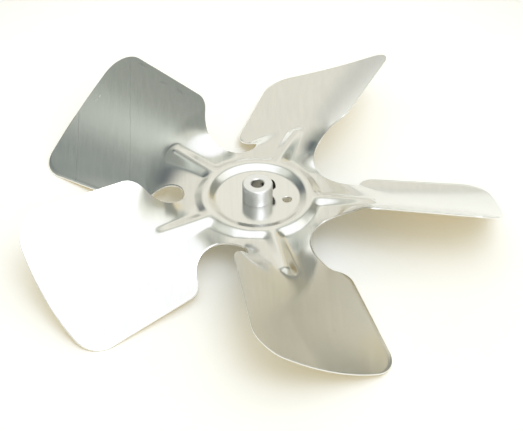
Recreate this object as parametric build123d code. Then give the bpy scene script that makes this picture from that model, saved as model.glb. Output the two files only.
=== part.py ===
from build123d import *
import math
import os

os.makedirs("parts", exist_ok=True)

# Millimetres. The shaft axis is Z, the open end of the hub points to +Z, and
# Z = 0 is the upper face of the flat centre of the sheet. Blade 0 runs along +X.

# ------------------------------------------------------------------ the fan
BLADES = 5
PITCH_CIRCLE = 360 / BLADES     # degrees from one blade to the next
TIP_RADIUS = 152.4              # 12 inch sweep
SHEET = 1.2                     # aluminium sheet, measured along the shaft axis

# ------------------------------------------------------------------ blade outline in plan
# The raised edge lies towards -Y and the lowered edge towards +Y.
STATION = 70.0                  # radius at which the two half widths are measured
RAISED_HALF = 33.8
RAISED_SPLAY = 4.8              # degrees by which the edge opens outward
RAISED_NECK_R = 14.0            # convex round between the edge and the pocket
LOWERED_HALF = 40.6
LOWERED_SPLAY = 4.6
LOWERED_NECK_R = 11.0
TIP_CORNER_R = 17.0
TIP_ARC_R = 172.0               # the tip is a little flatter than the sweep circle
TIP_ARC_TURN = 11.5             # degrees from the blade axis to the farthest point
POCKET_FLOOR = 46.2             # radius of the floor of the pocket between two blades
POCKET_RAISED_R = 17.5
POCKET_LOWERED_R = 15.0

# ------------------------------------------------------------------ blade surface
BEND_START = 39.0               # the flat centre ends on a pentagon at this distance
BEND_END = 70.0                 # the full pitch is reached here
PITCH_ANGLE = 29.5
ROOT_CAMBER = 0.0043            # rise per square millimetre away from the blade axis
TIP_CAMBER = 0.0027
TIP_DROOP = 3.0                 # the blade axis sinks by this much at the tip

# ------------------------------------------------------------------ stiffening beads
BEAD_RISE = 2.8                 # height of the ring bead and of the blade ribs
RING_FOOT_IN = 26.8
RING_CREST_IN = 30.4
RING_CREST_OUT = 34.2
RING_FOOT_OUT = 38.4
RING_CREST_BREAK = 0.9          # the crest's two corners are broken by this much
RIB_FOOT_HALF = 6.2             # half width where the rib leaves the blade
RIB_CREST_HALF = 2.0            # half width of the flat top
RIB_START = 32.3                # on the crest of the ring
RIB_FADE = 64.5                 # the rib starts to sink into the blade
RIB_END = 73.5

# ------------------------------------------------------------------ hub and fixings
HUB_RADIUS = 9.525              # 3/4 inch bar
HUB_HEIGHT = 11.7               # above the sheet
HUB_CHAMFER = 0.7
BORE_RADIUS = 3.969             # 5/16 inch shaft
BORE_CHAMFER = 0.6
SPIGOT_RADIUS = 7.1             # passes through the centre hole of the sheet
STAKE_RADIUS = 8.6              # rim rolled over under the sheet
STAKE_DEPTH = 1.4
SCREW_RADIUS = 3.175            # 1/4 inch set screw
SCREW_LENGTH = 6.35
SCREW_HEIGHT = 6.8              # of its axis above the sheet
SCREW_TURN = 28.0               # degrees round the shaft from blade 0
SCREW_PROUD = 1.9               # outer end beyond the hub
SCREW_CHAMFER = 0.5
SOCKET_ACROSS = 3.175           # 1/8 inch hexagon key
SOCKET_DEPTH = 3.0
CUP_RADIUS = 1.9
CUP_DEPTH = 0.9
BALANCE_HOLE_RADIUS = 2.85      # small hole in the flat centre
BALANCE_HOLE_AT = 18.7
BALANCE_HOLE_TURN = -3.0

# ------------------------------------------------------------------ working room
OVERRUN = 4.0                   # how far patches run past the outline they are cut to
DEEP = 20.0                     # depth of the solid under the centre before hollowing
TALL = 60.0                     # half height of the cutters made from plan outlines


# ------------------------------------------------------------------ curves as control values
def blossom(values, places):
    """Repeated linear blending of control values, one blend for each place."""
    for place in places:
        values = [(1 - place) * a + place * b for a, b in zip(values, values[1:])]
    return values[0]


def trimmed(values, start, stop):
    """Control values of the same curve between two of its parameters."""
    top = len(values) - 1
    return [blossom(values, [start] * (top - i) + [stop] * i) for i in range(top + 1)]


def product(first, second):
    """Control values of two curves multiplied together."""
    m, n = len(first) - 1, len(second) - 1
    result = []
    for k in range(m + n + 1):
        total = 0
        for i in range(max(0, k - n), min(m, k) + 1):
            total += math.comb(m, i) * math.comb(n, k - i) * first[i] * second[k - i]
        result.append(total / math.comb(m + n, k))
    return result


def raised_to(values, count):
    """The same curve written with more control values."""
    return product(values, [1.0] * (count - len(values) + 1))


BEND_EASE = [0.0, 0.0, 1.0, 1.0]        # flat at both ends
RIB_EASE = [0.0, 0.25, 0.75, 1.0]       # leaves and arrives with a faint crease


# ------------------------------------------------------------------ blade surface
def share(ease, start, stop, low, high):
    """An ease that runs from start to stop, as seen between low and high."""
    if high <= start:
        return [ease[0]]
    if low >= stop:
        return [ease[-1]]
    run = stop - start
    return trimmed(ease, (low - start) / run, (high - start) / run)


def along_blade(x, root, tip):
    """A value that changes in proportion from the station to the tip."""
    return root + (tip - root) * (x - STATION) / (TIP_RADIUS - STATION)


def patch(x0, x1, y0, y1, rib_wall=None):
    """One exact piece of the upper face; rib_wall gives the rib's rise across it."""
    bend = share(BEND_EASE, BEND_START, BEND_END, x0, x1)
    centre = [along_blade(x, 0.0, -TIP_DROOP) for x in (x0, x1)]
    camber = [along_blade(x, ROOT_CAMBER, TIP_CAMBER) for x in (x0, x1)]
    slope = -math.tan(math.radians(PITCH_ANGLE))
    across = [y0, y1]
    terms = [
        (product(bend, centre), [1.0]),
        (product(bend, [slope]), across),
        (product(bend, camber), product(across, across)),
    ]
    if rib_wall:
        fade = share(RIB_EASE[::-1], RIB_FADE, RIB_END, x0, x1)
        terms.append(([BEAD_RISE * v for v in fade], rib_wall))
    nx = max(2, max(len(a) for a, b in terms))
    ny = max(2, max(len(b) for a, b in terms))
    terms = [(raised_to(a, nx), raised_to(b, ny)) for a, b in terms]
    net = []
    for i in range(nx):
        row = []
        for j in range(ny):
            z = sum(a[i] * b[j] for a, b in terms)
            row.append((x0 + (x1 - x0) * i / (nx - 1), y0 + (y1 - y0) * j / (ny - 1), z))
        net.append(row)
    return Face.make_bezier_surface(net)


def rib_bands():
    """The strips of a rib from its raised side to its lowered side."""
    return [
        (-RIB_FOOT_HALF, -RIB_CREST_HALF, RIB_EASE),
        (-RIB_CREST_HALF, RIB_CREST_HALF, [1.0]),
        (RIB_CREST_HALF, RIB_FOOT_HALF, RIB_EASE[::-1]),
    ]


def thick(face, depth):
    """The face given a depth straight down the shaft axis."""
    return extrude(face, amount=depth, dir=(0, 0, -1))


def joined(pieces):
    """All the pieces as one solid."""
    return pieces[0].fuse(*pieces[1:])


# ------------------------------------------------------------------ plan outline
def on_ray(radius, degrees):
    angle = math.radians(degrees)
    return Vector(radius * math.cos(angle), radius * math.sin(angle))


def slide_to(start, along, centre, reach, way):
    """The point on a line that lies at a given reach from a centre."""
    gap = start - centre
    b = gap.dot(along)
    root = math.sqrt(b * b - gap.dot(gap) + reach * reach)
    return start + along * (way * root - b)


def arc(centre, start, stop):
    """The shorter arc round a centre."""
    middle = (start - centre).normalized() + (stop - centre).normalized()
    return ThreePointArc(start, centre + middle.normalized() * (start - centre).length, stop)


def half_outline(side):
    """Edges of one half of a blade, from the bend line outward to the tip arc."""
    raised = side < 0
    half = RAISED_HALF if raised else LOWERED_HALF
    splay = math.radians(RAISED_SPLAY if raised else LOWERED_SPLAY)
    neck_r = RAISED_NECK_R if raised else LOWERED_NECK_R
    pocket_r = POCKET_RAISED_R if raised else POCKET_LOWERED_R
    along = Vector(math.cos(splay), side * math.sin(splay))
    inward = Vector(math.sin(splay), -side * math.cos(splay))
    edge = Vector(STATION, side * half)
    pocket = on_ray(POCKET_FLOOR + pocket_r, side * PITCH_CIRCLE / 2)
    neck = slide_to(edge + inward * neck_r, along, pocket, pocket_r + neck_r, 1)
    tip_centre = on_ray(TIP_RADIUS - TIP_ARC_R, TIP_ARC_TURN)
    corner = slide_to(edge + inward * TIP_CORNER_R, along, tip_centre, TIP_ARC_R - TIP_CORNER_R, 1)
    start = Vector(BEND_START, pocket.Y - side * math.sqrt(pocket_r**2 - (pocket.X - BEND_START)**2))
    turn = pocket + (neck - pocket).normalized() * pocket_r
    edge_in = neck - inward * neck_r
    edge_out = corner - inward * TIP_CORNER_R
    tip = tip_centre + (corner - tip_centre).normalized() * TIP_ARC_R
    edges = [
        arc(pocket, start, turn),
        arc(neck, turn, edge_in),
        Line(edge_in, edge_out),
        arc(corner, edge_out, tip),
    ]
    return edges, start, tip, pocket


def plan_cutter(edges):
    """A tall prism over a closed outline."""
    face = make_face(edges)
    return extrude(face, amount=TALL, both=True)


def blade_cutter():
    raised, raised_start, raised_tip, _ = half_outline(-1)
    lowered, lowered_start, lowered_tip, _ = half_outline(1)
    tip_centre = on_ray(TIP_RADIUS - TIP_ARC_R, TIP_ARC_TURN)
    closing = [arc(tip_centre, raised_tip, lowered_tip), Line(raised_start, lowered_start)]
    return plan_cutter(raised + lowered + closing)


def centre_cutter():
    """The pentagon of the flat centre with its corners cut by the pockets."""
    _, raised_start, _, raised_pocket = half_outline(-1)
    _, lowered_start, _, lowered_pocket = half_outline(1)
    floor_in = on_ray(POCKET_FLOOR, -PITCH_CIRCLE / 2)
    floor_out = on_ray(POCKET_FLOOR, PITCH_CIRCLE / 2)
    sector = [
        arc(raised_pocket, floor_in, raised_start),
        Line(raised_start, lowered_start),
        arc(lowered_pocket, lowered_start, floor_out),
    ]
    edges = []
    for k in range(BLADES):
        edges += [edge.rotate(Axis.Z, k * PITCH_CIRCLE) for edge in sector]
    return plan_cutter(edges)


# ------------------------------------------------------------------ the pressed sheet
def blade():
    """One pitched blade with its rib, from the bend line to the tip."""
    reach = TIP_RADIUS + OVERRUN
    width = LOWERED_HALF + OVERRUN + (reach - STATION) * math.tan(math.radians(RAISED_SPLAY))
    faces = [patch(RIB_END, reach, -width, width)]
    stops = [BEND_START, RIB_FADE, BEND_END, RIB_END]
    for x0, x1 in zip(stops, stops[1:]):
        faces.append(patch(x0, x1, -width, -RIB_FOOT_HALF))
        faces.append(patch(x0, x1, RIB_FOOT_HALF, width))
        for y0, y1, wall in rib_bands():
            faces.append(patch(x0, x1, y0, y1, wall))
    plate = joined([thick(face, SHEET) for face in faces])
    return plate & blade_cutter()


def centre():
    """The flat centre with the ring bead and the inner ends of the ribs."""
    rim = TIP_RADIUS / 2
    with BuildPart() as die:
        with BuildSketch(Plane.XZ) as section:
            with BuildLine():
                Polyline(
                    (0, -DEEP), (0, 0), (RING_FOOT_IN, 0), (RING_CREST_IN, BEAD_RISE),
                    (RING_CREST_OUT, BEAD_RISE), (RING_FOOT_OUT, 0), (rim, 0), (rim, -DEEP),
                    close=True,
                )
            make_face()
            crest = [v for v in section.vertices() if v.Y > BEAD_RISE / 2]
            chamfer(crest, RING_CREST_BREAK)
        revolve(axis=Axis.Z)
    ribs = []
    for y0, y1, wall in rib_bands():
        ribs.append(thick(patch(RIB_START, BEND_START, y0, y1, wall), DEEP))
    spokes = [rib.rotate(Axis.Z, k * PITCH_CIRCLE) for rib in ribs for k in range(BLADES)]
    solid = joined([die.part] + spokes) & centre_cutter()
    return solid - solid.moved(Location((0, 0, -SHEET)))


def blade_sheet():
    one = blade()
    sheet = joined([centre()] + [one.rotate(Axis.Z, k * PITCH_CIRCLE) for k in range(BLADES)])
    sheet -= Cylinder(SPIGOT_RADIUS, TALL)
    spot = on_ray(BALANCE_HOLE_AT, BALANCE_HOLE_TURN)
    sheet -= Pos(spot.X, spot.Y, 0) * Cylinder(BALANCE_HOLE_RADIUS, TALL)
    return sheet


# ------------------------------------------------------------------ hub and set screw
def screw_frame():
    """Frame on the outer end of the screw, with Z pointing away from the shaft."""
    out = on_ray(1, SCREW_TURN)
    origin = out * (HUB_RADIUS + SCREW_PROUD) + Vector(0, 0, SCREW_HEIGHT)
    return Plane(origin=origin, z_dir=out)


def hub():
    with BuildPart() as body:
        with BuildSketch(Plane.XZ):
            with BuildLine():
                Polyline(
                    (BORE_RADIUS, -SHEET - STAKE_DEPTH + BORE_CHAMFER),
                    (BORE_RADIUS + BORE_CHAMFER, -SHEET - STAKE_DEPTH),
                    (STAKE_RADIUS - STAKE_DEPTH / 2, -SHEET - STAKE_DEPTH),
                    (STAKE_RADIUS, -SHEET - STAKE_DEPTH / 2),
                    (STAKE_RADIUS, -SHEET),
                    (SPIGOT_RADIUS, -SHEET),
                    (SPIGOT_RADIUS, 0),
                    (HUB_RADIUS, 0),
                    (HUB_RADIUS, HUB_HEIGHT - HUB_CHAMFER),
                    (HUB_RADIUS - HUB_CHAMFER, HUB_HEIGHT),
                    (BORE_RADIUS + BORE_CHAMFER, HUB_HEIGHT),
                    (BORE_RADIUS, HUB_HEIGHT - BORE_CHAMFER),
                    close=True,
                )
            make_face()
        revolve(axis=Axis.Z)
    tapped = Cylinder(SCREW_RADIUS, HUB_RADIUS + SCREW_PROUD, align=(Align.CENTER, Align.CENTER, Align.MAX))
    return body.part - screw_frame().location * tapped


def set_screw():
    down = (Align.CENTER, Align.CENTER, Align.MAX)
    body = Cylinder(SCREW_RADIUS, SCREW_LENGTH, align=down)
    body = chamfer(body.edges().filter_by(GeomType.CIRCLE), SCREW_CHAMFER)
    socket = extrude(RegularPolygon(SOCKET_ACROSS / 2, 6, major_radius=False), amount=-SOCKET_DEPTH)
    cup = Pos(0, 0, -SCREW_LENGTH) * Cone(CUP_RADIUS, 0.2, CUP_DEPTH, align=(Align.CENTER, Align.CENTER, Align.MIN))
    return screw_frame().location * (body - socket - cup)


export_step(blade_sheet(), "parts/blade_sheet.step")
export_step(hub(), "parts/hub.step")
export_step(set_screw(), "parts/set_screw.step")
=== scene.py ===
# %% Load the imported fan
import math
import bpy
import numpy as np
from mathutils import Matrix, Vector


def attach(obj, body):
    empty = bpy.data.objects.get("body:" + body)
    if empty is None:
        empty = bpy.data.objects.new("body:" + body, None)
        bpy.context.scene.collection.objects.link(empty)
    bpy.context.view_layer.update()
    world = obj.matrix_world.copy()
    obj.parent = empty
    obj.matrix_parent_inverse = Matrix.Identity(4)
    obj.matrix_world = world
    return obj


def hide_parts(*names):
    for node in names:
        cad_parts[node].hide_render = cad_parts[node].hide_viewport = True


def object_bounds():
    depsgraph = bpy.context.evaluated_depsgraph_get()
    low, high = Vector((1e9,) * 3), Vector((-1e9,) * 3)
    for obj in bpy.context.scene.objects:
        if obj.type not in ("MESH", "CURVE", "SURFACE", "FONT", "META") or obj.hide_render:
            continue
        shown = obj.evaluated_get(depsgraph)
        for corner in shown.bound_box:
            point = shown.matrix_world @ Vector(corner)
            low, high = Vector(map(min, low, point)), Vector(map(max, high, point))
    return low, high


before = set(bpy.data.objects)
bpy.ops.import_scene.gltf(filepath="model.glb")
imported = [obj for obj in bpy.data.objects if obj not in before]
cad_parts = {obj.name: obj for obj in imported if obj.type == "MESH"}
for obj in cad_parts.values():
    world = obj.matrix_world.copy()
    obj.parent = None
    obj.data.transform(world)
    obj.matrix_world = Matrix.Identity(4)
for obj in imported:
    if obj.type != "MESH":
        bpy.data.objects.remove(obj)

cad_box = [list(map(float, corner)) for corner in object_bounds()]
print("CAD box in metres", cad_box)

# %% [markdown]
# A fan blade like this is one sheet of bright rolled aluminium. A press cuts the outline, bends
# each blade to its pitch and raises a ring and five ribs, so that thin sheet stays stiff. A turned
# hub is staked in the middle, and a black screw in its side grips the motor shaft.
# This lesson first sets the camera, then builds the sheet as one height field over its outline,
# then the hub and the screw, and ends with their finishes, the floor and the lights.

# %% [markdown]
# The camera stands well back with a long lens. It could stand near with a short one, but then the
# front blade would look larger than the rear one. From far off, five equal blades look equal.

# %% Camera
HEADING = math.radians(2.999)       # turned a little to the left of straight ahead
LOOK_DOWN = math.radians(41.05)
DISTANCE = 1.1073
AIM = Vector((0.00341, -0.01717, 0.0))
LENS = 122.86                       # long lens: the view is under 17 degrees wide

ahead = Vector((-math.sin(HEADING) * math.cos(LOOK_DOWN),
                math.cos(HEADING) * math.cos(LOOK_DOWN), -math.sin(LOOK_DOWN)))
camera = bpy.data.objects.new("camera", bpy.data.cameras.new("camera"))
camera.data.lens = LENS
camera.data.sensor_width = 36.0
camera.data.clip_end = 20.0
camera.location = AIM - ahead * DISTANCE
camera.rotation_mode = "QUATERNION"
camera.rotation_quaternion = ahead.to_track_quat("-Z", "Y")
bpy.context.collection.objects.link(camera)
bpy.context.scene.camera = camera
print("camera at", [round(v, 3) for v in camera.location])

# %% [markdown]
# The sheet's form follows a few measures, in millimetres here because that is how a press tool is
# drawn. The raised side of a blade lies towards -Y of its own axis, and the lowered side towards +Y.

# %% Measures of the sheet
BLADES = 5
SHARE = 2 * math.pi / BLADES
TIP_RADIUS = 152.4                  # 12 inch sweep
SHEET = 1.2                         # thickness, along the shaft
STATION = 70.0                      # radius at which the half widths are measured
BEND_START, BEND_END = 20.5, 94.4   # along a blade's middle; towards its edges the bend is shorter
PITCH_SLOPE = math.tan(math.radians(29.5))
ROOT_CAMBER, TIP_CAMBER = 0.0044, 0.0027
TIP_DROOP = 3.0
POCKET_FLOOR = 46.2
TIP_ARC_R, TIP_ARC_TURN = 172.0, math.radians(11.5)
TIP_CORNER_R = 17.0
BEAD_RISE = 2.4
HOLE_IN_SHEET = 7.1
RING_INNER, RING_OUTER = 26.4, 39.9  # feet of the ring bead
RING_RUN_IN, RING_RUN_OUT = 4.5, 5.2
RING_SOFT, RIB_SOFT = 0.09, 0.14     # how rounded the feet and shoulders are
RIB_FROM, RIB_TO = 36.3, 68.7        # the rib's spine
RIB_FOOT, RIB_RUN = 6.75, 5.6
NEIGHBOUR_REACH = 52.0               # inside this radius the next blades' bends still count


# %% [markdown]
# Outline of half a blade. It is made of four runs that meet smoothly: the round pocket between two
# blades, the convex neck, the straight edge and the tip corner. The centres of the rounds follow
# from the rule that touching circles have centres one radius sum or difference apart.

# %% Half an outline
def turned(points, angle):
    """Rotates an array of plan points about the shaft: x cos - y sin, x sin + y cos."""
    c, s = math.cos(angle), math.sin(angle)
    x, y = points[..., 0], points[..., 1]
    out = points.copy()
    out[..., 0], out[..., 1] = x * c - y * s, x * s + y * c
    return out


def along_arc(centre, start, stop, count):
    """count points on the shorter arc: centre plus radius times (cos, sin) of equal angle steps."""
    a, b = (math.atan2(p[1] - centre[1], p[0] - centre[0]) for p in (start, stop))
    sweep = (b - a + math.pi) % (2 * math.pi) - math.pi
    angle = a + sweep * np.linspace(0, 1, count)
    radius = math.hypot(*(np.array(start) - centre))
    return np.stack([centre[0] + radius * np.cos(angle), centre[1] + radius * np.sin(angle)], -1)


def slide_to(start, along, centre, reach):
    """Where a line reaches a given distance from a centre: start + k along, with k = sqrt(b2 - c) - b."""
    gap = start - centre
    b = gap @ along
    return start + along * (math.sqrt(b * b - gap @ gap + reach * reach) - b)


def half_outline(side, half, splay, neck_r, pocket_r, rows=(17, 17, 22, 15)):
    """Points from the pocket floor to the tip arc, on the side +1 (lowered) or -1 (raised)."""
    splay = math.radians(splay)
    along = np.array([math.cos(splay), side * math.sin(splay)])
    inward = np.array([math.sin(splay), -side * math.cos(splay)])
    edge = np.array([STATION, side * half])
    middle = side * SHARE / 2
    ray = np.array([math.cos(middle), math.sin(middle)])
    pocket = (POCKET_FLOOR + pocket_r) * ray
    neck = slide_to(edge + inward * neck_r, along, pocket, pocket_r + neck_r)
    tip_centre = (TIP_RADIUS - TIP_ARC_R) * np.array([math.cos(TIP_ARC_TURN), math.sin(TIP_ARC_TURN)])
    corner = slide_to(edge + inward * TIP_CORNER_R, along, tip_centre, TIP_ARC_R - TIP_CORNER_R)
    turn = pocket + (neck - pocket) / np.linalg.norm(neck - pocket) * pocket_r
    edge_in, edge_out = neck - inward * neck_r, corner - inward * TIP_CORNER_R
    tip = tip_centre + (corner - tip_centre) / np.linalg.norm(corner - tip_centre) * TIP_ARC_R
    straight = edge_in + (edge_out - edge_in) * np.linspace(0, 1, rows[2])[:, None]
    runs = [along_arc(pocket, POCKET_FLOOR * ray, turn, rows[0]), along_arc(neck, turn, edge_in, rows[1]),
            straight, along_arc(corner, edge_out, tip, rows[3])]
    return np.concatenate([runs[0]] + [run[1:] for run in runs[1:]]), tip_centre


raised_side, tip_centre = half_outline(-1, 33.8, 4.8, 14.0, 17.5)
lowered_side, _ = half_outline(1, 40.6, 4.6, 11.0, 15.0)
print("outline rows on each side", len(raised_side), len(lowered_side))


# %% [markdown]
# Height of the sheet. A blade is a shallow trough, a slope plus a square term across it, and an
# ease lifts it out of the flat centre. The ring and the ribs are beads: their flanks are ramps with
# rounded feet and shoulders, which is how thin metal flows over a tool. Where two beads meet they are
# joined like two chances, 1 - (1 - a)(1 - b), which rounds the inner corner and never goes too high.
# The bend is longest along the middle of a blade and shorter towards its edges. It could be one flat
# crease, but a press leaves a slow twist there, and bright metal shows the difference at once.

# %% Height field
def ramp(t, softness):
    """0 to 1 with rounded ends: half of sqrt(t2 + s2) - sqrt((t - 1)2 + s2) + 1."""
    return 0.5 * (np.sqrt(t**2 + softness**2) - np.sqrt((t - 1) ** 2 + softness**2) + 1)


def blade_height(x, y):
    """Ease 6t5 - 15t4 + 10t3 over the bend, times droop - slope y + camber y2."""
    start = BEND_START - 0.057 * y + 0.0182 * y * y
    end = BEND_END + 0.074 * y - 0.0314 * y * y
    t = np.clip((x - start) / np.maximum(end - start, 14.0), 0, 1)
    out = (x - STATION) / (TIP_RADIUS - STATION)
    camber = ROOT_CAMBER + (TIP_CAMBER - ROOT_CAMBER) * out
    return t**3 * (6 * t * t - 15 * t + 10) * (-TIP_DROOP * out - PITCH_SLOPE * y + camber * y * y)


def ring_bead(r):
    """The product of a ramp that rises outward from one foot and one that rises inward from the other."""
    return (ramp((r - RING_INNER) / RING_RUN_IN, RING_SOFT)
            * ramp((RING_OUTER - r) / RING_RUN_OUT, RING_SOFT))


def rib_bead(x, y):
    """A long hump: its ramp depends on the distance to a spine along the middle of the blade."""
    beyond = np.maximum(np.maximum(RIB_FROM - x, x - RIB_TO), 0)
    return ramp((RIB_FOOT - np.hypot(beyond, y)) / RIB_RUN, RIB_SOFT)


def sheet_height(x, y):
    """Blade height plus the joined beads, in millimetres, for points in a blade's own axes."""
    r = np.hypot(x, y)
    c, s = math.cos(SHARE), math.sin(SHARE)
    # Near the pocket the bends of the two neighbours still reach in, so the three are added up.
    neighbours = blade_height(x * c + y * s, y * c - x * s) + blade_height(x * c - y * s, y * c + x * s)
    beads = 1 - (1 - ring_bead(r)) * (1 - rib_bead(x, y))
    return blade_height(x, y) + neighbours * (r < NEIGHBOUR_REACH) + BEAD_RISE * beads


# %% [markdown]
# The sheet could be cut from a flat grid, but its edge would look sawn. Here the grid fits the
# outline instead: each row runs from the raised edge to the lowered edge, with most of its columns
# over the rib, and the centre is a fan of rays that end on the first row. One sector is repeated
# five times. The edge gets three narrow strips, because a sheared edge is square with broken corners.

# %% Grid over one sector
BREAK = 0.16                         # the sheared edge's corners are broken by this much
RIB_BAND = 7.4
COLUMNS = (14, 28, 14)
TIP_POINTS = 41                      # along the tip arc
BULGE_ROWS = 30                      # rows over which the grid takes on the tip's curve


def row_shares(low, high):
    """Places of the columns on a row from y = low to y = high, crowded over the rib."""
    stops = np.array([low, -RIB_BAND, RIB_BAND, high])
    pieces = [np.linspace(a, b, n, endpoint=False) for a, b, n in zip(stops, stops[1:], COLUMNS)]
    y = np.concatenate(pieces + [[high]])
    return (y - low) / (high - low)


def edge_normals(path, previous, following):
    """Unit normals of a plan path, pointing out of the metal, from central differences."""
    longer = np.concatenate([previous[None], path, following[None]])
    run = longer[2:] - longer[:-2]
    run /= np.linalg.norm(run, axis=1)[:, None]
    return np.stack([run[:, 1], -run[:, 0]], -1)


def blade_grid(raised, lowered, tip_row):
    """Rows of straight lines between the two edges; the last rows bulge to follow the tip arc."""
    shares = np.stack([row_shares(a, b) for a, b in zip(raised[:, 1], lowered[:, 1])])
    rows = raised[:, None] + (lowered - raised)[:, None] * shares[..., None]
    bulge = tip_row - rows[-1]
    start = len(rows) - BULGE_ROWS
    weight = np.clip((np.arange(len(rows)) - start) / (len(rows) - 1 - start), 0, 1) ** 2
    return rows + bulge[None] * weight[:, None, None]


tip_arc = along_arc(tip_centre, raised_side[-1], lowered_side[-1], TIP_POINTS)
rim = np.concatenate([raised_side, tip_arc[1:-1], lowered_side[::-1]])
rim_out = edge_normals(rim, turned(lowered_side[1], -SHARE), turned(raised_side[1], SHARE))
inner_rim = rim - rim_out * BREAK
n = len(raised_side)
raised_in, lowered_in = inner_rim[:n], inner_rim[-n:][::-1]
last_shares = row_shares(raised_in[-1, 1], lowered_in[-1, 1])
tip_rim = inner_rim[n - 1:n - 1 + TIP_POINTS]
lengths = np.concatenate([[0], np.cumsum(np.hypot(*np.diff(tip_rim, axis=0).T))])
tip_row = np.stack([np.interp(last_shares * lengths[-1], lengths, tip_rim[:, k]) for k in (0, 1)], -1)
blade_plan = blade_grid(raised_in, lowered_in, tip_row)

rays = 62                            # rows from the hole in the centre to the first blade row
first = blade_plan[0]
start_circle = HOLE_IN_SHEET * first / np.linalg.norm(first, axis=1)[:, None]
centre_plan = start_circle[None] + (first - start_circle)[None] * np.linspace(0, 1, rays)[:, None, None]
sector_plan = np.concatenate([centre_plan[:-1], blade_plan])
print("sector grid", sector_plan.shape)


# %% [markdown]
# The grid is lifted to its height, copied one thickness lower for the underside, and closed along
# the edges and round the middle hole. A Solidify modifier could add the thickness, but it moves
# points along the slope and would change the outline, so the second face is the first one lowered.
# Neighbouring sectors share their border points, and welding them leaves one closed skin.

# %% From grid to sheet
def grid_faces(rows, columns, offset=0, flip=False):
    """Quads of a rows x columns grid of numbered points."""
    a = (np.arange(rows - 1)[:, None] * columns + np.arange(columns - 1)[None]).ravel() + offset
    quads = np.stack([a, a + columns, a + columns + 1, a + 1], -1)
    return quads[:, ::-1] if flip else quads


def as_piece(name, points, faces, sharp=38.0):
    """A mesh object in metres at the origin, shaded smooth with creases over the sharp angle."""
    mesh = bpy.data.meshes.new(name)
    mesh.from_pydata((points / 1000.0).tolist(), [], [list(map(int, f)) for f in faces])
    mesh.validate()
    mesh.shade_smooth()
    mesh.set_sharp_from_angle(angle=math.radians(sharp))
    piece = bpy.data.objects.new(name, mesh)
    bpy.context.collection.objects.link(piece)
    return piece


def welded(points, faces):
    """Joins points whose places agree when rounded to a ten-thousandth of a millimetre."""
    _, keep, link = np.unique(np.round(points, 4), axis=0, return_index=True, return_inverse=True)
    return points[keep], link.reshape(-1)[faces]


rows, columns = sector_plan.shape[:2]
top = np.dstack([sector_plan, sheet_height(sector_plan[..., 0], sector_plan[..., 1])])
under = top - [0, 0, SHEET]
# The rim of the grid: up the raised edge, across the tip, down the lowered edge.
grid_rim = np.concatenate([top[rays - 1:, 0], top[-1, 1:-1], top[rays - 1:, -1][::-1]])
evenly = np.linspace(0, 1, TIP_POINTS)
outer_tip = np.stack([np.interp(last_shares[1:-1], evenly, tip_arc[:, k]) for k in (0, 1)], -1)
outer_rim = np.concatenate([raised_side, outer_tip, lowered_side[::-1]])
bands = np.stack([grid_rim, np.column_stack([outer_rim, grid_rim[:, 2] - BREAK]),
                  np.column_stack([outer_rim, grid_rim[:, 2] - SHEET + BREAK]), grid_rim - [0, 0, SHEET]])
bore = np.stack([top[0], under[0]])

points, faces, count = [], [], 0
for block, flip in ((top, False), (under, True), (bands, False), (bore, True)):
    faces.append(grid_faces(*block.shape[:2], offset=count, flip=flip))
    points.append(block.reshape(-1, 3))
    count += points[-1].shape[0]
sector_points, sector_faces = np.concatenate(points), np.concatenate(faces)
all_points = np.concatenate([turned(sector_points, k * SHARE) for k in range(BLADES)])
all_faces = np.concatenate([sector_faces + k * count for k in range(BLADES)])
all_points, all_faces = welded(all_points, all_faces)
pressed_sheet = as_piece("pressed_sheet", all_points, all_faces)
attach(pressed_sheet, "root")
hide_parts("blade_sheet")
print("pressed sheet has", len(all_points), "points and", 2 * len(all_faces), "triangles")

# %% [markdown]
# The hub is a short piece of bar, turned on a lathe, so it is one profile carried round the shaft.
# Its lower end is a thin spigot that passes through the sheet and is rolled over underneath, which
# holds the fan without a weld. The hole for the screw is cut afterwards, as it is in the workshop.

# %% Lathe helper
def lathe(profile, around):
    """Points r cos u, r sin u, z for each profile point (r, z) and each of the angles u."""
    u = np.linspace(0, 2 * np.pi, around, endpoint=False)
    r, z = np.array(profile, float).T
    return np.stack([r[:, None] * np.cos(u), r[:, None] * np.sin(u), np.repeat(z[:, None], around, 1)], -1)


def ring_faces(rows, around, closed=False):
    """Quads between neighbouring rings, the last column joined to the first."""
    i = np.arange(rows if closed else rows - 1)[:, None]
    j = np.arange(around)[None]
    a, b = i * around, ((i + 1) % rows) * around
    k = (j + 1) % around
    return np.stack([a + j, a + k, b + k, b + j], -1).reshape(-1, 4)


def rounded(corner, before, after, size, steps=5):
    """A soft corner: points of the curve (1-t)2 p + 2t(1-t) corner + t2 q, p and q at size from it."""
    corner, before, after = (np.array(p, float) for p in (corner, before, after))
    p = corner + (before - corner) / np.linalg.norm(before - corner) * size
    q = corner + (after - corner) / np.linalg.norm(after - corner) * size
    t = np.linspace(0, 1, steps)[:, None]
    return (1 - t) ** 2 * p + 2 * t * (1 - t) * corner + t * t * q


def soft_profile(stops):
    """A closed profile from (r, z, size) stops, each corner rounded by its size."""
    spots = [stop[:2] for stop in stops]
    out = [rounded(spots[i], spots[i - 1], spots[(i + 1) % len(spots)], stop[2]) if stop[2] else [spots[i]]
           for i, stop in enumerate(stops)]
    return np.concatenate(out)


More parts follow.
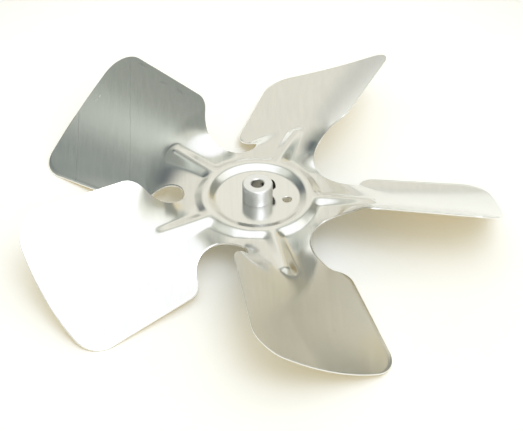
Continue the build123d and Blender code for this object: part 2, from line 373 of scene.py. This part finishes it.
# %% Turned hub
HUB_RADIUS, HUB_HEIGHT = 9.525, 11.7
BORE_RADIUS = 3.969
SCREW_TURN = math.radians(28.0)
SCREW_HEIGHT = 6.8
hub_profile = soft_profile([
    (BORE_RADIUS, -2.0, 0.1), (4.5, -2.6, 0.2), (7.3, -2.6, 0.5), (8.6, -1.75, 0.4), (8.55, -1.2, 0),
    (7.1, -1.2, 0), (7.1, 0.0, 0), (9.3, 0.0, 0), (HUB_RADIUS, 0.22, 0.1), (HUB_RADIUS, 3.0, 0.02),
    (HUB_RADIUS, 11.0, 0.18), (8.8, HUB_HEIGHT, 0.2), (6.6, HUB_HEIGHT, 0.02), (4.6, HUB_HEIGHT, 0.12),
    (BORE_RADIUS, 11.08, 0.12), (BORE_RADIUS, 4.5, 0.02)])
HUB_AROUND = 144
hub_points = lathe(hub_profile, HUB_AROUND).reshape(-1, 3)
turned_hub = as_piece("turned_hub", hub_points, ring_faces(len(hub_profile), HUB_AROUND, closed=True), 30)
print("turned hub rings", len(hub_profile))


# %% [markdown]
# The screw's hole and the small hole in the flat centre are drilled and lightly countersunk. They
# could be drawn into the grids, but a round hole through the side of a bar has a saddle shaped rim,
# which is easier to cut than to draw. The cutting tool is turned with the same lathe helper.

# %% Holes cut with a shaped tool
def cut_with(piece, profile, place, around=72):
    """Cuts a closed lathe shape, standing at place, out of a piece and throws the cutter away."""
    rings = lathe(profile, around)
    rows = len(profile)
    sides = ring_faces(rows, around)
    caps = [list(range(around))[::-1], list(range((rows - 1) * around, rows * around))]
    flat = rings.reshape(-1, 3)
    flat = np.c_[flat, np.ones(len(flat))] @ np.array(place).T
    tool = as_piece("cutter", flat[:, :3], [list(f) for f in sides] + caps)
    cut = piece.modifiers.new("cut", "BOOLEAN")
    cut.operation, cut.solver, cut.object = "DIFFERENCE", "EXACT", tool
    graph = bpy.context.evaluated_depsgraph_get()
    result = bpy.data.meshes.new_from_object(piece.evaluated_get(graph))
    piece.modifiers.clear()
    old, piece.data = piece.data, result
    bpy.data.meshes.remove(old)
    bpy.data.objects.remove(tool)


outward = (Matrix.Rotation(SCREW_TURN, 4, "Z") @ Matrix.Translation((0, 0, SCREW_HEIGHT))
           @ Matrix.Rotation(math.pi / 2, 4, "Y"))
cut_with(turned_hub, [(3.2, 0.0), (3.2, 9.25), (4.6, 10.65)], outward)
SMALL_HOLE_AT, SMALL_HOLE_TURN = 18.7, math.radians(-3.0)
cut_with(pressed_sheet, [(4.0, -2.2), (2.85, -1.05), (2.85, -0.15), (4.0, 1.0)],
         Matrix.Rotation(SMALL_HOLE_TURN, 4, "Z") @ Matrix.Translation((SMALL_HOLE_AT, 0, 0)))
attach(turned_hub, "root")
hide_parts("hub")
print("sheet points after the hole", len(pressed_sheet.data.vertices))

# %% [markdown]
# The top of the sheet is bright. The underside gets a darker, warmer tint that is painted shade, so
# that a blade which mirrors it looks shaded. The cut edge is rougher and paler: partly the torn
# metal of the shear, partly a painted highlight along the edge. The finish needs to know which is
# which, so each face is marked from its own slope, once the holes are cut.

# %% Which side each face is on
upward = np.empty(3 * len(pressed_sheet.data.polygons))
pressed_sheet.data.polygons.foreach_get("normal", upward)
upward = upward[2::3]
for name, share in (("underside", upward < -0.3), ("sheared", abs(upward) < 0.3)):
    marks = pressed_sheet.data.attributes.new(name, "FLOAT", "FACE")
    marks.data.foreach_set("value", share.astype(np.float32))
    print(name, "faces", int(share.sum()))

# %% [markdown]
# The screw is a quarter inch one with a hexagon socket. A real thread is a ridge that winds round, so
# the radius depends on how far along and how far round a point is. The same grid of rings goes down
# into the socket, out over the rim, along the thread and into the cup at the tip.

# %% Set screw
PITCH = 1.27
SCREW_RADIUS, SCREW_LENGTH, SCREW_END = 3.175, 6.35, 11.425


def screw_rings(around=96):
    """Rings (a, r) along the screw; r is a hexagon in the socket and a winding ridge on the thread."""
    u = np.linspace(0, 2 * np.pi, around, endpoint=False)
    six = 1.5875 / np.cos((u + np.pi / 6) % (np.pi / 3) - np.pi / 6)
    one = np.ones(around)
    rings = [(-3.0, 0.02 * one), (-3.0, 0.6 * six), (-3.0, six), (-2.9, six), (-0.35, six),
             (-0.12, six * 1.02), (0.0, six * 1.13), (0.0, 2.3 * one)]
    along = np.linspace(0, SCREW_LENGTH, 90)
    phase = (along[:, None] / PITCH - u[None] / (2 * np.pi)) % 1.0
    ridge = 0.62 * np.clip(1.35 * np.abs(2 * phase - 1) - 0.1, 0, 1)
    cone = np.minimum(2.55 + 1.0 * along, 2.45 + 0.9 * (SCREW_LENGTH - along))[:, None]
    rings += [(-a, np.minimum(r, c)) for a, r, c in zip(along, SCREW_RADIUS - ridge, cone)]
    rings += [(-SCREW_LENGTH, 1.9 * one), (-5.75, 0.5 * one), (-5.7, 0.02 * one)]
    a = np.array([ring[0] for ring in rings])[:, None]
    r = np.stack([ring[1] for ring in rings])
    return np.stack([-(a + 0 * r), r * np.sin(u), r * np.cos(u)], -1)


screw_points = screw_rings()
rows, around = screw_points.shape[:2]
local = screw_points.reshape(-1, 3) * [-1, 1, 1] + [SCREW_END, 0, SCREW_HEIGHT]
local = turned(local, SCREW_TURN)
screw_faces = [list(f) for f in ring_faces(rows, around)]
screw_faces += [list(range(around))[::-1], list(range((rows - 1) * around, rows * around))]
black_screw = as_piece("black_screw", local, screw_faces, 50)
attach(black_screw, "root")
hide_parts("set_screw")
print("screw rings", rows)

# %% [markdown]
# Finishes are built from shader nodes. Written out by hand, a few sums take dozens of lines, so a
# small class stands for a node's output and understands + - * /. An expression such as
# 1 - mask * 0.3 then adds its Math nodes by itself, and it reads like the formula it is.

# %% Node workbench
MM = 1000.0                          # millimetres in a metre, the unit of Object coordinates


class Wire:
    """One output socket. Arithmetic on it adds a Math node and gives that node's output."""

    def __init__(self, bench, socket):
        self.bench, self.socket = bench, socket

    def math(self, operation, *values):
        return self.bench.add("ShaderNodeMath", {"operation": operation}, dict(enumerate(values)))

    def __add__(self, other): return self.math("ADD", self, other)
    def __radd__(self, other): return self.math("ADD", other, self)
    def __sub__(self, other): return self.math("SUBTRACT", self, other)
    def __rsub__(self, other): return self.math("SUBTRACT", other, self)
    def __mul__(self, other): return self.math("MULTIPLY", self, other)
    def __rmul__(self, other): return self.math("MULTIPLY", other, self)
    def __truediv__(self, other): return self.math("DIVIDE", self, other)
    def __rtruediv__(self, other): return self.math("DIVIDE", other, self)
    def __abs__(self): return self.math("ABSOLUTE", self)


class Bench:
    """A node tree on the workbench."""

    def __init__(self, tree):
        self.tree = tree

    def add(self, kind, settings=None, inputs=None, out=0):
        """Adds a node: its settings first, a ramp's stops among them, then values or links."""
        node = self.tree.nodes.new(kind)
        for name, value in (settings or {}).items():
            if name == "stops":
                ramp = node.color_ramp
                while len(ramp.elements) < len(value):
                    ramp.elements.new(0.5)
                for element, (place, colour) in zip(ramp.elements, value):
                    element.position, element.color = place, colour
            else:
                setattr(node, name, value)
        for name, value in (inputs or {}).items():
            if isinstance(value, Wire):
                self.tree.links.new(value.socket, node.inputs[name])
            else:
                node.inputs[name].default_value = value
        return Wire(self, node.outputs[out])

    def smooth(self, value, start, stop):
        """0 before start and 1 after stop, with the smoothstep 3t2 - 2t3 between them."""
        return self.add("ShaderNodeMapRange", {"interpolation_type": "SMOOTHSTEP"},
                        {"Value": value, "From Min": start, "From Max": stop})

    def blend(self, factor, under, over):
        """The colour under where the factor is 0, the colour over where it is 1."""
        return self.add("ShaderNodeMix", {"data_type": "RGBA"}, {0: factor, 6: under, 7: over}, out=2)

    def along(self, vector, direction, start=(0, 0, 0)):
        """How far a place lies from start along a direction: a dot product."""
        gap = self.add("ShaderNodeVectorMath", {"operation": "SUBTRACT"}, {0: vector, 1: start})
        return self.add("ShaderNodeVectorMath", {"operation": "DOT_PRODUCT"}, {0: gap, 1: direction}, out=1)

    def noise(self, vector, scale, detail=2.0, roughness=0.5, lift=0.0):
        """Soft random values near 0.5; lift distorts them."""
        return self.add("ShaderNodeTexNoise", {}, {"Vector": vector, "Scale": scale, "Detail": detail,
                                                   "Roughness": roughness, "Distortion": lift})

    def squeezed(self, vector, turn, factors):
        """Coordinates turned about the shaft and then scaled, so a pattern stretches one way."""
        turned_first = self.add("ShaderNodeMapping", {}, {"Vector": vector, "Rotation": (0, 0, turn)})
        return self.add("ShaderNodeVectorMath", {"operation": "MULTIPLY"}, {0: turned_first, 1: factors})

    def places(self):
        """Where a point of the piece lies, in millimetres, from its Object coordinates."""
        where = self.add("ShaderNodeTexCoord", {}, {}, out=3)
        return self.add("ShaderNodeVectorMath", {"operation": "SCALE"}, {0: where, 3: MM})


def finish(name, **constants):
    """A new material: its bench, its shader, and the shader's sockets that are the same all over."""
    material = bpy.data.materials.new(name)
    material.use_nodes = True
    shader = material.node_tree.nodes["Principled BSDF"]
    for socket, value in constants.items():
        shader.inputs[socket.replace("_", " ")].default_value = value
    return material, Bench(material.node_tree), shader


def coat(piece, material, shader, **varying):
    """Links what varies over the surface to the shader, and gives the piece this one material."""
    for socket, wire in varying.items():
        material.node_tree.links.new(wire.socket, shader.inputs[socket.replace("_", " ")])
    piece.data.materials.clear()
    piece.data.materials.append(material)


print("workbench ready")

# %% [markdown]
# Aluminium sheet comes off the mill with a grain: fine lines along the way it was rolled. The grain
# runs the same way through all five blades, because they are one sheet. It is made from noise that is
# stretched along the rolling direction, and it changes the roughness, the tint and, very slightly,
# the height. Then come the marks of handling: two long drag lines, scuffs and specks.

# %% Rolled aluminium
ROLLING = math.radians(4.5)          # the grain is turned this far from the Y axis
sheet_metal, bench, shader = finish("rolled_aluminium", Metallic=1.0)
place = bench.places()
fine = bench.noise(bench.squeezed(place, -ROLLING, (1.5, 0.035, 0.4)), 1.0, 3.0, 0.6)
broad = bench.noise(bench.squeezed(place, -ROLLING, (0.33, 0.012, 0.15)), 1.0, 3.0, 0.55)
cloud = bench.noise(place, 0.045, 3.0, 0.55)
blotch = bench.smooth(bench.noise(place, 0.16, 4.0, 0.65), 0.3, 0.7)
grain = bench.smooth(fine, 0.28, 0.72) * 0.55 + bench.smooth(broad, 0.3, 0.7) * 0.45
underside = bench.add("ShaderNodeAttribute", {"attribute_name": "underside"}, out=2)
sheared = bench.add("ShaderNodeAttribute", {"attribute_name": "sheared"}, out=2)
print("grain ready")


def drag_line(start, stop, width):
    """1 on a thin straight line between two places in millimetres, 0 away from it."""
    start, stop = np.array((*start, 0.0)), np.array((*stop, 0.0))
    length = np.linalg.norm(stop - start)
    run = (stop - start) / length
    side = bench.along(place, (-run[1], run[0], 0), start)
    far = bench.along(place, run, start)
    near = bench.smooth(abs(side + (bench.noise(place, 0.08) - 0.5) * 1.6), width, width * 0.3)
    return near * bench.smooth(far, -1.0, 3.0) * bench.smooth(far, length + 1.0, length - 3.0)


def scuff(centre, half_length, half_width, turn, ragged=1.0):
    """1 inside a small ragged oval, 0 outside."""
    run = (math.cos(turn), math.sin(turn), 0)
    across = (-run[1], run[0], 0)
    a = bench.along(place, run, (*centre, 0)) / half_length
    b = bench.along(place, across, (*centre, 0)) / half_width
    edge = a * a + b * b + (bench.noise(place, 0.9, 4.0, 0.7) - 0.5) * 2.2 * ragged
    return bench.smooth(edge, 1.0, 0.35)


lines = (drag_line((-124.5, 88.2), (-120.7, 33.4), 0.3) * 0.6
         + drag_line((-91.5, 111.1), (-84.2, 29.4), 0.28) * 0.3)
rubs = (scuff((-81.5, 104.5), 5.2, 0.7, -0.66) + scuff((-66.5, 88.2), 4.0, 0.7, -0.59)
        + scuff((-55.3, 79.4), 4.4, 0.9, -0.81) + scuff((51.0, -106.0), 1.6, 1.1, -0.7))
specks = scuff((-112.7, 92.1), 0.9, 0.6, 1.0, 0.6) + scuff((-110.6, 94.1), 0.8, 0.6, 0.8, 0.6)
tint = bench.blend(grain, (0.765, 0.775, 0.765, 1), (0.83, 0.83, 0.82, 1))
tint = bench.blend(blotch * 0.25, tint, (0.81, 0.80, 0.775, 1))
# painted shade: the underside is tinted darker and warmer, so a blade that mirrors it looks shaded
tint = bench.blend(underside * 0.9, tint, (0.70, 0.67, 0.585, 1))
tint = bench.blend(lines + rubs * 0.35, tint, (0.42, 0.43, 0.42, 1))
# the specks are white flecks; the paler sheared edge is partly cut metal and partly a painted highlight
tint = bench.blend(specks + sheared * 0.6, tint, (0.96, 0.96, 0.95, 1))
rough = (0.11 + fine * 0.05 + broad * 0.03 + cloud * 0.04
         + lines * 0.2 + rubs * 0.1 + sheared * 0.15 + specks * 0.3)
GRAIN_DEPTH = 0.000007               # seven thousandths of a millimetre
bump = bench.add("ShaderNodeBump", {}, {"Strength": 1.0, "Distance": GRAIN_DEPTH,
                                        "Height": fine + broad * 0.5 - lines * 2.0 - rubs})
coat(pressed_sheet, sheet_metal, shader, Base_Color=tint, Roughness=rough, Normal=bump)
print("nodes in rolled aluminium", len(bench.tree.nodes))

# %% [markdown]
# The hub was turned, so its marks are fine rings round the shaft. The pattern depends only on the
# distance from the shaft and on the height, which gives rings on the end face as well as on the
# side. The end face was faced last, with a coarse feed, and is paler and duller than the side.

# %% Turned steel
hub_steel, bench, shader = finish("turned_steel", Metallic=1.0)
place = bench.places()
level = bench.add("ShaderNodeVectorMath", {"operation": "MULTIPLY"}, {0: place, 1: (1, 1, 0)})
out_from_shaft = bench.add("ShaderNodeVectorMath", {"operation": "LENGTH"}, {0: level}, out=1)
height = bench.along(place, (0, 0, 1))
track = bench.add("ShaderNodeCombineXYZ", {}, {0: out_from_shaft * 4.0, 1: height * 4.0, 2: 0.0})
rings = bench.noise(track, 1.0, 3.0, 0.6)
smudge = bench.noise(place, 0.35, 3.0, 0.6)
faced = bench.smooth(height, 11.3, 11.6)
tint = bench.blend(bench.smooth(rings, 0.3, 0.7), (0.74, 0.74, 0.73, 1), (0.93, 0.93, 0.92, 1))
tint = bench.blend(faced * 0.8, tint, (0.97, 0.97, 0.97, 1))
rough = 0.25 + rings * 0.14 + smudge * 0.08 + faced * 0.2
TOOL_RING_DEPTH = 0.00004
bump = bench.add("ShaderNodeBump", {}, {"Strength": 1.0, "Distance": TOOL_RING_DEPTH, "Height": rings})
coat(turned_hub, hub_steel, shader, Base_Color=tint, Roughness=rough, Normal=bump)
print("nodes in turned steel", len(bench.tree.nodes))

# %% [markdown]
# The screw is blackened in a hot salt bath. The skin is thin, a little brown, and stays slightly
# shiny, so it is part metal and part dark coating, with grit that changes both.

# %% Black oxide
screw_black, bench, shader = finish("black_oxide", Metallic=0.6)
place = bench.places()
grit = bench.noise(place, 2.2, 4.0, 0.65)
tint = bench.blend(grit, (0.018, 0.016, 0.014, 1), (0.055, 0.047, 0.04, 1))
rough = 0.28 + grit * 0.2
coat(black_screw, screw_black, shader, Base_Color=tint, Roughness=rough)
print("nodes in black oxide", len(bench.tree.nodes))

# %% [markdown]
# The floor is a sheet of white paper that reaches a little past the fan. It takes the fan's shadow.
# Farther out it turns pale grey, a painted fall-off of light. A weak warm glow, seen by the camera
# and by the metal alone, is painted light: it stands for the light that a real studio scatters under
# a blade. It fades where the fan covers the paper, which paints shade round the middle.

# %% Floor
floor_mesh = bpy.data.meshes.new("floor")
HALF_FLOOR, FLOOR_LEVEL = 6.0, cad_box[0][2]
corners = [(x * HALF_FLOOR, y * HALF_FLOOR, FLOOR_LEVEL) for x, y in ((-1, -1), (1, -1), (1, 1), (-1, 1))]
floor_mesh.from_pydata(corners, [], [(0, 1, 2, 3)])
floor = bpy.data.objects.new("floor", floor_mesh)
bpy.context.collection.objects.link(floor)
paper, bench, shader = finish("floor_paper", Roughness=1.0, Specular_IOR_Level=0.0, Emission_Strength=1.0)
path = bench.add("ShaderNodeLightPath")
camera_ray = Wire(bench, path.socket.node.outputs["Is Camera Ray"])
glossy_ray = Wire(bench, path.socket.node.outputs["Is Glossy Ray"])
clear_ray = Wire(bench, path.socket.node.outputs["Is Transmission Ray"])
seen = (camera_ray + glossy_ray + clear_ray).math("MINIMUM", camera_ray + glossy_ray + clear_ray, 1.0)
where = bench.add("ShaderNodeTexCoord", {}, {}, out=3)
from_middle = bench.add("ShaderNodeVectorMath", {"operation": "LENGTH"}, {0: where}, out=1)
# painted fall-off of light: farther out the paper turns pale grey and the glow weakens
far_fade = bench.smooth(from_middle, 0.25, 0.47)
paper_white = bench.blend(far_fade, (0.88, 0.94, 1.0, 1), (0.63, 0.63, 0.62, 1))
# painted light and shade: the warm glow fades out towards the middle, under the fan, and far out
lit = seen * bench.smooth(from_middle, -0.02, 0.13) * (1 - far_fade * 0.8)
glow = bench.blend(lit, (0, 0, 0, 1), (0.25, 0.18, 0.07, 1))
paper.cycles.emission_sampling = "NONE"     # the glow is seen, but the floor is no lamp
coat(floor, paper, shader, Base_Color=paper_white, Emission_Color=glow)
print("floor at", round(FLOOR_LEVEL, 4))

# %% [markdown]
# Bright metal has hardly a colour of its own: what the eye sees on it is the room. So the room is
# drawn with care. Each panel is a patch of wall or ceiling, given by its heading and its height in
# degrees, with soft edges, and a later one covers an earlier one. The dark panels on the left give
# one blade its grey, the cream wall behind warms the middle, and the pale panels over the right and
# the ceiling turn another blade white. A round lamp on the near side lights the floor.

# %% Studio
world = bpy.data.worlds.new("studio")
bpy.context.scene.world = world
world.use_nodes = True
bench = Bench(world.node_tree)
look = bench.add("ShaderNodeTexCoord", {}, {}, out=0)
east, north, up = (bench.along(look, axis) for axis in ((1, 0, 0), (0, 1, 0), (0, 0, 1)))
turn_of_ray = north.math("ARCTAN2", north, east) * (180 / math.pi)
height_of_ray = up.math("ARCSINE", up) * (180 / math.pi)


def panel(turn, height, half_turn, half_height, soft, soft_up=None):
    """A soft edged panel of the sky, in degrees round the shaft and degrees above the floor."""
    soft_up = soft_up or soft
    shifted = turn_of_ray - (turn - 180)
    aside = abs(shifted.math("FLOORED_MODULO", shifted, 360) - 180)
    above = abs(height_of_ray - height)
    return (bench.smooth(aside, half_turn + soft, half_turn - soft)
            * bench.smooth(above, half_height + soft_up, half_height - soft_up))


def disc(turn, height, radius, soft):
    """A soft edged round panel: the angle between the ray and its middle is small enough."""
    turn, height = math.radians(turn), math.radians(height)
    middle = (math.cos(turn) * math.cos(height), math.sin(turn) * math.cos(height), math.sin(height))
    near = bench.along(look, middle)
    return bench.smooth(near, math.cos(math.radians(radius + soft)), math.cos(math.radians(radius - soft)))


sky = (0.755, 0.769, 0.666, 1)
for colour, shape in (
        ((0.54, 0.53, 0.48, 1), (-70, 15, 95, 22, 8, 8)),
        ((0.41, 0.412, 0.398, 1), (-172, 10, 40, 15, 8, 8.2)),
        ((0.342, 0.366, 0.326, 1), (175, 20.2, 71, 34.9, 3, 3.9)),
        ((0.107, 0.132, 0.146, 1), (123.2, 42.2, 22.8, 16.8, 14, 3.9)),
        ((1.049, 1.103, 1.002, 1), (171.8, 56.6, 5.5, 9, 14, 1.5)),
        ((0.562, 0.545, 0.422, 1), (34.7, 12.2, 23.3, 27.2, 11.8, 2.9)),
        ((0.901, 0.876, 0.765, 1), (90.8, 11.6, 34.3, 37.3, 14, 4.1)),
        ((1.04, 1.02, 0.91, 1), (88, 41, 17, 4, 6, 3)),
        ((0.8, 0.79, 0.71, 1), (84, 0, 9, 5, 5, 4)),
        ((1.125, 1.055, 0.912, 1), (110.4, 53.3, 23.1, 1.1, 1.5, 5.7)),
        ((0.221, 0.214, 0.12, 1), (54.3, 13.2, 7.6, 38.2, 1.5, 1.5)),
        ((0.733, 0.681, 0.51, 1), (57.5, -1.3, 12.8, 12.5, 3.1, 2.5)),
        ((0.93, 0.847, 0.622, 1), (65, 29.5, 6.9, 8, 6.1, 5.8)),
        ((1.25, 1.25, 1.16, 1), (3.5, 63.3, 52.9, 17.5, 1.5, 11.7)),
        ((0.526, 0.583, 0.52, 1), (103.8, 49.3, 42, 1.4, 1.5, 5.1)),
        ((0.328, 0.331, 0.28, 1), (47.7, 29.1, 10.7, 21.5, 1.5, 7)),
        ((0.169, 0.214, 0.201, 1), (70, 47.5, 1.9, 7.7, 14, 4.8)),
        ((0.625, 0.624, 0.599, 1), (58, 66.1, 9.6, 1.6, 5.1, 1.7)),
        ((0.415, 0.482, 0.488, 1), (149.5, 49.6, 1.5, 1, 6.3, 2.5)),
        ((0.423, 0.429, 0.391, 1), (179.4, 44.7, 3.9, 1, 6.3, 4)),
        ((0.455, 0.421, 0.323, 1), (57.3, 16.5, 3.6, 1, 4.2, 3.8)),
        ((0.852, 0.791, 0.603, 1), (59.5, 11.3, 7.5, 1, 4, 1.9)),
        ((0.88, 0.777, 0.538, 1), (65, 28, 4.8, 4.5, 3.1, 4.2)),
        ((0.544, 0.54, 0.499, 1), (50.8, 61.8, 9.5, 1.4, 5.3, 4.4)),
        ((0.35, 0.375, 0.345, 1), (150, 54.4, 8, 1.6, 6, 1.6)),
        ((0.792, 0.835, 0.781, 1), (165, 49.7, 8, 0.5, 6, 1.5)),
        ((1.27, 1.28, 1.29, 1), (-30, 83, 29, 3)),
        ((4.1, 4.25, 4.55, 1), (-58, 60, 15.5, 4)),
):
    sky = bench.blend((disc if len(shape) == 4 else panel)(*shape), sky, colour)
bench.tree.links.new(sky.socket, world.node_tree.nodes["Background"].inputs["Color"])
print("studio panels ready")

bpy.context.scene.view_settings.view_transform = "Standard"
